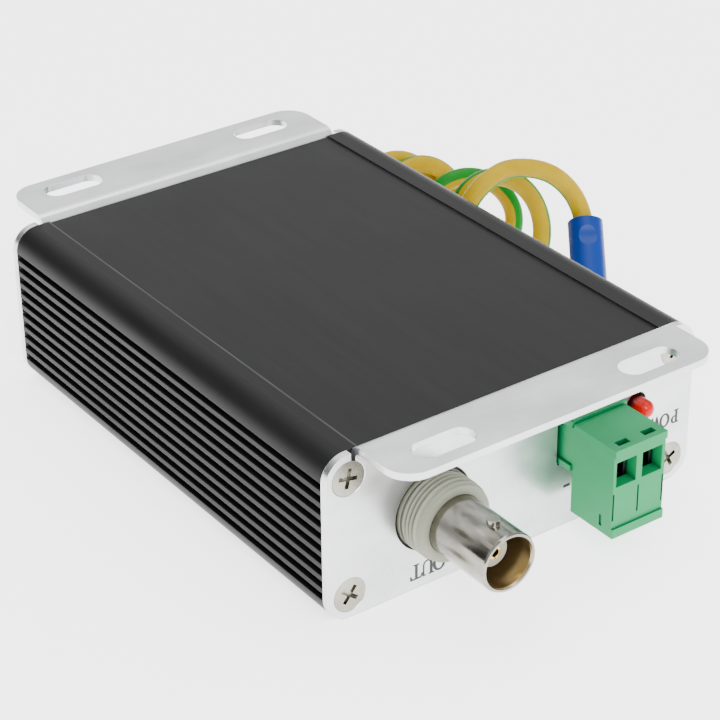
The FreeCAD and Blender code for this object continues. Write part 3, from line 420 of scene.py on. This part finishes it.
STRIPE_DEGREES = (118, 106, 92, 180, 270, 268, 313, 330, 310, 250, 258, 282, 232, 180)
TUBE_SIDES = 24


def between(table, place):
    """Value of a table at a place between its whole numbers."""
    low = min(int(place), len(table) - 2)
    return table[low] + (table[low + 1] - table[low]) * (place - low)


def coil_point(turns):
    angle = 2 * math.pi * turns
    radius = between(COIL_R, turns)
    tilt = between(COIL_TILT, turns)
    rise = radius * math.sin(angle)
    reach = radius * math.cos(angle)
    return Vector((
        between(COIL_X, turns) + reach + (COIL_LEAN_X + TILT_AIM[0] * tilt) * rise,
        between(COIL_Y, turns) + COIL_SKEW * reach + (COIL_LEAN_Y + TILT_AIM[1] * tilt) * rise,
        WIRE_R + FLOOR_GAP + (radius + rise) * (1 + TILT_AIM[2] * tilt),
    ))


def coil_steps():
    return round((COIL_START - COIL_STOP) * POINTS_PER_TURN)


def wire_points():
    points = [Vector(p) for p in ROUTE]
    steps = coil_steps()
    for i in range(steps + 1):
        points.append(coil_point(COIL_START + (COIL_STOP - COIL_START) * i / steps))
    points += [Vector(p) for p in SLEEVE_ENTRY]
    points.append(SLEEVE_FACE - SLEEVE_AIM * 0.2)
    points.append(SLEEVE_FACE + SLEEVE_AIM * WIRE_IN_SLEEVE)
    return points


def spline_line(points):
    """Points of the smooth open spline that has these control points, in metres."""
    data = bpy.data.curves.new("wire_line", "CURVE")
    data.dimensions = "3D"
    data.resolution_u = 6
    spline = data.splines.new("NURBS")
    spline.points.add(len(points) - 1)
    for control, point in zip(spline.points, points):
        control.co = (*(point * MM), 1)
    spline.order_u = 3
    spline.use_endpoint_u = True
    holder = bpy.data.objects.new("wire_line", data)
    bpy.context.scene.collection.objects.link(holder)
    bpy.context.view_layer.update()
    mesh = bpy.data.meshes.new_from_object(holder)
    line = [v.co.copy() for v in mesh.vertices]
    bpy.data.objects.remove(holder)
    bpy.data.curves.remove(data)
    bpy.data.meshes.remove(mesh)
    return line


def turns_along(share):
    """Turns of the coil at a share of the spline's way."""
    count = len(wire_points())
    control = 0.5 + share * (count - 2)
    passed = (control - len(ROUTE)) / coil_steps()
    return COIL_START + (COIL_STOP - COIL_START) * max(passed, 0)


def stripe_direction(along, turns):
    """Direction from the wire's middle to the middle of its green stripe."""
    place = 1
    while place < len(STRIPE_TURNS) - 1 and STRIPE_TURNS[place] < turns:
        place += 1
    low, high = STRIPE_TURNS[place - 1], STRIPE_TURNS[place]
    share = min(max((turns - low) / (high - low), 0), 1)
    degrees = STRIPE_DEGREES[place - 1] * (1 - share) + STRIPE_DEGREES[place] * share
    facing = (STRIPE_FACING - along * STRIPE_FACING.dot(along)).normalized()
    angle = math.radians(degrees)
    return facing * math.cos(angle) + along.cross(facing) * math.sin(angle)


def wire_tube(line):
    """Round tube along a line, with a map of its length and of the angle from its stripe."""
    verts, faces, maps = [], [], []
    side = None
    run = 0.0
    for i, point in enumerate(line):
        before, after = line[max(i - 1, 0)], line[min(i + 1, len(line) - 1)]
        along = (after - before).normalized()
        if side is None:
            side = along.orthogonal().normalized()
        side = (side - along * side.dot(along)).normalized()
        other = along.cross(side)
        stripe = stripe_direction(along, turns_along(i / (len(line) - 1)))
        start = math.atan2(stripe.dot(other), stripe.dot(side))
        if i:
            run += (point - line[i - 1]).length
        for k in range(TUBE_SIDES):
            angle = start + math.pi + 2 * math.pi * k / TUBE_SIDES
            offset = side * math.cos(angle) + other * math.sin(angle)
            verts.append(point + offset * WIRE_R * MM)
        maps.append(run)
    rings = len(line)
    for i in range(rings - 1):
        for k in range(TUBE_SIDES):
            nxt = (k + 1) % TUBE_SIDES
            a, b = i * TUBE_SIDES, (i + 1) * TUBE_SIDES
            faces.append((a + k, a + nxt, b + nxt, b + k))
    faces.append(tuple(reversed(range(TUBE_SIDES))))
    faces.append(tuple(range((rings - 1) * TUBE_SIDES, rings * TUBE_SIDES)))
    mesh = bpy.data.meshes.new("earth_wire_free")
    mesh.from_pydata(verts, [], faces)
    layer = mesh.uv_layers.new(name="along")
    for polygon in mesh.polygons:
        ring = [mesh.loops[j].vertex_index % TUBE_SIDES for j in polygon.loop_indices]
        wraps = 0 in ring and TUBE_SIDES - 1 in ring and len(ring) == 4
        for j, k in zip(polygon.loop_indices, ring):
            row = mesh.loops[j].vertex_index // TUBE_SIDES
            turn = 1.0 if wraps and k == 0 else k / TUBE_SIDES
            layer.data[j].uv = (maps[row] * 20, turn)
        polygon.use_smooth = len(ring) == 4
    return mesh


def add(name, mesh, material, body=ROOT):
    piece = bpy.data.objects.new(name, mesh)
    bpy.context.scene.collection.objects.link(piece)
    mesh.materials.append(material)
    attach(piece, body)
    return piece


nodes = frame["nodes"]
line = spline_line(wire_points())
wire = add("earth_wire_free", wire_tube(line), cord_cover("wire_cover", True))
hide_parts("earth_wire", "earth_wire_coil")


# Materials of the modelled pieces

GREEN = (0.006, 0.25, 0.082)
materials = {
    "housing_black": anodised_black(),
    "plate_aluminium": satin_sheet(),
    "screw_steel": plated("screw_steel", (0.34, 0.33, 0.28), 0.22, streak=0.2, bump=0.4),
    "barrel_nickel": barrel_nickel(),
    "jack_white": moulded("jack_white", (0.26, 0.27, 0.205), 0.42, 0.12, 0.4),
    "insulator_white": moulded("insulator_white", (0.36, 0.36, 0.28), 0.5, 0.1, 0.4),
    "contact_gold": plated("contact_gold", (0.95, 0.66, 0.22), 0.18),
    "terminal_green": moulded("terminal_green", GREEN, 0.42, 0.0, 0.22),
    # Painted shade reaches 6 mm here and darkens the tin strongly beside close parts
    "tinned": plated("tinned", (0.30, 0.30, 0.29), 0.34, reach=0.006, shade_depth=0.03),
    "clamp_steel": plated("clamp_steel", (0.62, 0.62, 0.60), 0.28),
    "board_green": moulded("board_green", (0.02, 0.12, 0.04), 0.3),
    "lamp_red": lamp_red(),
    "gas_tube_ceramic": dipped("gas_tube_ceramic", (0.78, 0.75, 0.70)),
    "varistor_blue": dipped("varistor_blue", (0.03, 0.09, 0.35)),
    "diode_black": moulded("diode_black", (0.02, 0.02, 0.02), 0.45),
    "resistor_tan": dipped("resistor_tan", (0.55, 0.40, 0.22)),
    "choke_black": moulded("choke_black", (0.03, 0.03, 0.03), 0.4),
    "fuse_yellow": dipped("fuse_yellow", (0.75, 0.45, 0.03)),
    "grommet_black": moulded("grommet_black", (0.02, 0.02, 0.02), 0.55),
    "wire_yellow_green": cord_cover("wire_inside", False),
    "sleeve_blue": moulded("sleeve_blue", (0.0, 0.028, 0.21), 0.36, 0.0, 0.22),
    "ring_tinned": plated("ring_tinned", (0.74, 0.74, 0.71), 0.26),
}


def dress_nodes():
    for part in frame["record"]["subparts"]:
        node = nodes[part["node"]]
        finish = materials[part["material_slot"]]
        if node.data.materials:
            for place in node.material_slots:
                place.material = finish
        else:
            node.data.materials.append(finish)


dress_nodes()


# Threads of the jacks' moulded sleeves

PLATE_FACE = 45.2
THREAD_ROOT_R = 6.22
THREAD_CREST_R = 6.6
THREAD_START = 2.05
THREAD_PITCH = 0.82
THREAD_TURNS = 4.4
THREAD_STEPS = 72
THREAD_FADE = 0.35
BODY_END = 44.0


def thread_ridge(sign):
    """Ridge wound round a sleeve, fading out at both ends."""
    profile = ((-0.42, 0.0), (-0.16, 1.0), (0.16, 1.0), (0.42, 0.0))
    verts, faces = [], []
    steps = int(THREAD_STEPS * THREAD_TURNS)
    for i in range(steps + 1):
        turns = i / THREAD_STEPS
        angle = 2 * math.pi * turns
        fade = min(1.0, turns / THREAD_FADE, (THREAD_TURNS - turns) / THREAD_FADE)
        for offset, height in profile:
            radius = THREAD_ROOT_R + (THREAD_CREST_R - THREAD_ROOT_R) * height * max(fade, 0.02)
            out = BODY_END + THREAD_START + (turns + offset) * THREAD_PITCH
            verts.append((
                (JACK_X + radius * math.cos(angle)) * MM,
                sign * out * MM,
                (JACK_Z + radius * math.sin(angle)) * MM,
            ))
    width = len(profile)
    for i in range(steps):
        for k in range(width):
            a, b = i * width + k, i * width + (k + 1) % width
            faces.append((a, b, b + width, a + width))
    faces.append(tuple(range(width)))
    faces.append(tuple(reversed(range(steps * width, (steps + 1) * width))))
    if sign > 0:
        faces = [tuple(reversed(face)) for face in faces]
    mesh = bpy.data.meshes.new("jack_thread")
    mesh.from_pydata(verts, [], faces)
    for polygon in mesh.polygons:
        polygon.use_smooth = True
    mesh.set_sharp_from_angle(angle=math.radians(25))
    return mesh


for name, sign in (("out_jack_thread", -1), ("in_jack_thread", 1)):
    add(name, thread_ridge(sign), materials["jack_white"])


# Printed letters on the OUT plate, which lie upside down as the housing does

GLYPHS = {
    "T": [[
        (0.02, 1.0), (0.0, 0.74), (0.05, 0.74), (0.10, 0.90), (0.18, 0.945), (0.36, 0.945),
        (0.36, 0.08), (0.33, 0.04), (0.24, 0.03), (0.24, 0.0), (0.62, 0.0), (0.62, 0.03),
        (0.53, 0.04), (0.50, 0.08), (0.50, 0.945), (0.68, 0.945), (0.76, 0.90), (0.81, 0.74),
        (0.86, 0.74), (0.84, 1.0),
    ]],
    "U": [[
        (0.0, 1.0), (0.0, 0.97), (0.09, 0.96), (0.12, 0.92), (0.12, 0.30), (0.14, 0.18),
        (0.22, 0.06), (0.36, -0.015), (0.46, -0.02), (0.60, 0.02), (0.72, 0.12), (0.765, 0.26),
        (0.765, 0.92), (0.80, 0.96), (0.88, 0.97), (0.88, 1.0), (0.60, 1.0), (0.60, 0.97),
        (0.68, 0.96), (0.71, 0.92), (0.705, 0.28), (0.67, 0.15), (0.58, 0.07), (0.46, 0.04),
        (0.36, 0.06), (0.29, 0.14), (0.265, 0.27), (0.265, 0.92), (0.29, 0.96), (0.38, 0.97),
        (0.38, 1.0),
    ]],
    "P": [[
        (0.0, 1.0), (0.0, 0.97), (0.08, 0.96), (0.10, 0.92), (0.10, 0.08), (0.08, 0.04),
        (0.0, 0.03), (0.0, 0.0), (0.36, 0.0), (0.36, 0.03), (0.26, 0.04), (0.24, 0.08),
        (0.24, 0.46), (0.36, 0.45), (0.50, 0.49), (0.60, 0.60), (0.62, 0.73), (0.60, 0.86),
        (0.51, 0.96), (0.38, 1.0),
    ], [
        (0.24, 0.95), (0.34, 0.95), (0.42, 0.92), (0.47, 0.84), (0.48, 0.73), (0.46, 0.61),
        (0.41, 0.53), (0.33, 0.50), (0.24, 0.51),
    ]],
    "W": [[
        (0.0, 1.0), (0.0, 0.965), (0.08, 0.95), (0.33, -0.02), (0.38, -0.02), (0.55, 0.56),
        (0.73, -0.02), (0.78, -0.02), (1.0, 0.95), (1.08, 0.965), (1.08, 1.0), (0.86, 1.0),
        (0.86, 0.965), (0.95, 0.95), (0.79, 0.28), (0.62, 0.86), (0.65, 0.95), (0.72, 0.965),
        (0.72, 1.0), (0.42, 1.0), (0.42, 0.965), (0.49, 0.95), (0.53, 0.80), (0.40, 0.30),
        (0.24, 0.95), (0.32, 0.965), (0.32, 1.0),
    ]],
    "E": [[
        (0.0, 1.0), (0.0, 0.97), (0.08, 0.96), (0.10, 0.92), (0.10, 0.08), (0.08, 0.04),
        (0.0, 0.03), (0.0, 0.0), (0.66, 0.0), (0.70, 0.26), (0.66, 0.26), (0.60, 0.12),
        (0.52, 0.06), (0.24, 0.05), (0.24, 0.49), (0.42, 0.49), (0.48, 0.45), (0.50, 0.37),
        (0.54, 0.37), (0.54, 0.66), (0.50, 0.66), (0.48, 0.58), (0.42, 0.545), (0.24, 0.545),
        (0.24, 0.95), (0.50, 0.95), (0.58, 0.90), (0.62, 0.78), (0.66, 0.78), (0.64, 1.0),
    ]],
    "R": [[
        (0.0, 1.0), (0.0, 0.97), (0.08, 0.96), (0.10, 0.92), (0.10, 0.08), (0.08, 0.04),
        (0.0, 0.03), (0.0, 0.0), (0.34, 0.0), (0.34, 0.03), (0.26, 0.04), (0.24, 0.08),
        (0.24, 0.46), (0.31, 0.46), (0.58, 0.0), (0.78, 0.0), (0.78, 0.03), (0.72, 0.05),
        (0.44, 0.47), (0.54, 0.51), (0.60, 0.60), (0.62, 0.73), (0.60, 0.86), (0.51, 0.96),
        (0.38, 1.0),
    ], [
        (0.24, 0.95), (0.34, 0.95), (0.42, 0.92), (0.47, 0.84), (0.48, 0.73), (0.46, 0.61),
        (0.41, 0.53), (0.33, 0.51), (0.24, 0.51),
    ]],
    "-": [[(0.0, 0.42), (0.0, 0.58), (0.55, 0.58), (0.55, 0.42)]],
}


def ring_of(rx, ry, count=32):
    steps = [2 * math.pi * i / count for i in range(count)]
    return [(0.44 + rx * math.cos(a), 0.5 + ry * math.sin(a)) for a in steps]


GLYPHS["O"] = [ring_of(0.44, 0.52), ring_of(0.28, 0.45)]
INK_STAND = 0.012
INK_HALF = 0.010
INK_BOLD = 0.075
EXTRA_ADVANCE = {"W": 0.36}


def ink():
    s = Shader("ink")
    wear = s.noise(s.place(), 1400, 4.0)
    s.put(
        Base_Color=s.blend(s.spread(wear, 0.0, 1.0), (0.008, 0.010, 0.010), (0.030, 0.036, 0.036)),
        Roughness=s.spread(wear, 0.55, 0.7),
    )
    s.bump(wear, 0.1, 0.00001)
    return s.material


def turn_of(outline):
    """Twice the area inside an outline, above 0 where it runs anticlockwise."""
    pairs = zip(outline, outline[1:] + outline[:1])
    return sum(ax * by - bx * ay for (ax, ay), (bx, by) in pairs)


def print_text(name, text, right_x, base_z, height, pitch, material):
    """Text that runs leftwards with its top down, as thin solid letters on the plate."""
    data = bpy.data.curves.new(name, "CURVE")
    data.dimensions = "2D"
    data.fill_mode = "BOTH"
    data.extrude = INK_HALF * MM
    data.offset = INK_BOLD * MM
    start = 0.0
    for letter in text:
        for hole, outline in enumerate(GLYPHS[letter]):
            if (turn_of(outline) > 0) == bool(hole):
                outline = outline[::-1]
            spline = data.splines.new("POLY")
            spline.points.add(len(outline) - 1)
            for control, (across, up) in zip(spline.points, outline):
                control.co = (
                    (-start - across * height) * MM,
                    -up * height * MM,
                    0,
                    1,
                )
            spline.use_cyclic_u = True
        start += pitch + EXTRA_ADVANCE.get(letter, 0.0) * height
    holder = bpy.data.objects.new(name + "_outline", data)
    bpy.context.scene.collection.objects.link(holder)
    bpy.context.view_layer.update()
    mesh = bpy.data.meshes.new_from_object(holder)
    bpy.data.objects.remove(holder)
    bpy.data.curves.remove(data)
    stand = Matrix.Rotation(math.radians(90), 4, "X")
    move = Matrix.Translation(Vector((right_x, -(PLATE_FACE + INK_STAND), base_z)) * MM)
    mesh.transform(move @ stand)
    mesh.materials.clear()
    return add(name, mesh, material)


ink_material = ink()
print_text("print_out", "OUT", -13.5, 4.3, 2.6, 2.15, ink_material)
print_text("print_power", "POWER", 32.6, 12.6, 2.3, 1.85, ink_material)
print_text("print_minus", "-", 10.5, 8.1, 2.1, 2.0, ink_material)


# Floor and soft studio light

def make_floor():
    s = Shader("floor_paper")
    slow = s.noise(s.place(), 3.0, 3.0)
    s.put(
        Base_Color=s.blend(s.spread(slow, 0.0, 1.0), (0.90, 0.90, 0.90), (0.93, 0.93, 0.93)),
        Roughness=0.9,
        Emission_Color=(1.0, 1.0, 1.0),
        Emission_Strength=2.4,
    )
    size = 30.0
    mesh = bpy.data.meshes.new("floor")
    mesh.from_pydata(
        [(-size, -size, 0), (size, -size, 0), (size, size, 0), (-size, size, 0)], [], [(0, 1, 2, 3)]
    )
    mesh.materials.append(s.material)
    floor = bpy.data.objects.new("floor", mesh)
    bpy.context.scene.collection.objects.link(floor)


def make_light(name, place, target, size, energy):
    data = bpy.data.lights.new(name, "AREA")
    data.shape = "RECTANGLE"
    data.size, data.size_y = size
    data.energy = energy
    light = bpy.data.objects.new(name, data)
    bpy.context.scene.collection.objects.link(light)
    light.location = place
    aim = Vector(target) - Vector(place)
    light.rotation_mode = "QUATERNION"
    light.rotation_quaternion = aim.to_track_quat("-Z", "Y")


def make_surroundings():
    """Studio walls: bright in front and overhead, dim behind and dark low at the back left."""
    world = bpy.data.worlds.new("studio")
    world.use_nodes = True
    nodes, links = world.node_tree.nodes, world.node_tree.links
    background = next(n for n in nodes if n.type == "BACKGROUND")
    background.inputs["Color"].default_value = (1.0, 1.0, 1.0, 1)
    where = nodes.new("ShaderNodeTexCoord")
    total = None
    for aim, low, high, start, stop in WALLS:
        dot = nodes.new("ShaderNodeVectorMath")
        dot.operation = "DOT_PRODUCT"
        links.new(where.outputs["Generated"], dot.inputs[0])
        dot.inputs[1].default_value = Vector(aim).normalized()
        share = nodes.new("ShaderNodeMapRange")
        share.interpolation_type = "SMOOTHSTEP"
        share.inputs["From Min"].default_value = start
        share.inputs["From Max"].default_value = stop
        share.inputs["To Min"].default_value = low
        share.inputs["To Max"].default_value = high
        links.new(dot.outputs["Value"], share.inputs["Value"])
        if total is None:
            total = share.outputs["Result"]
            continue
        both = nodes.new("ShaderNodeMath")
        both.operation = "ADD"
        links.new(total, both.inputs[0])
        links.new(share.outputs["Result"], both.inputs[1])
        total = both.outputs[0]
    links.new(total, background.inputs["Strength"])
    bpy.context.scene.world = world


WALLS = (
    ((0.0, 0.0, 1.0), 0.45, 1.10, 0.1, 1.0),
    ((0.0, -1.0, 0.0), 0.0, 0.9, 0.0, 1.0),
    ((0.50, 0.70, 0.50), 0.0, 0.95, 0.60, 0.97),
    ((-0.70, 0.70, 0.12), 0.0, -0.42, 0.55, 0.85),
)

make_floor()
make_surroundings()
make_light("key", (-0.35, -1.0, 0.75), (0, 0, 0), (0.5, 0.5), 10)
make_light("top", (0.1, 0.1, 1.1), (0, 0, 0), (0.8, 0.8), 8)
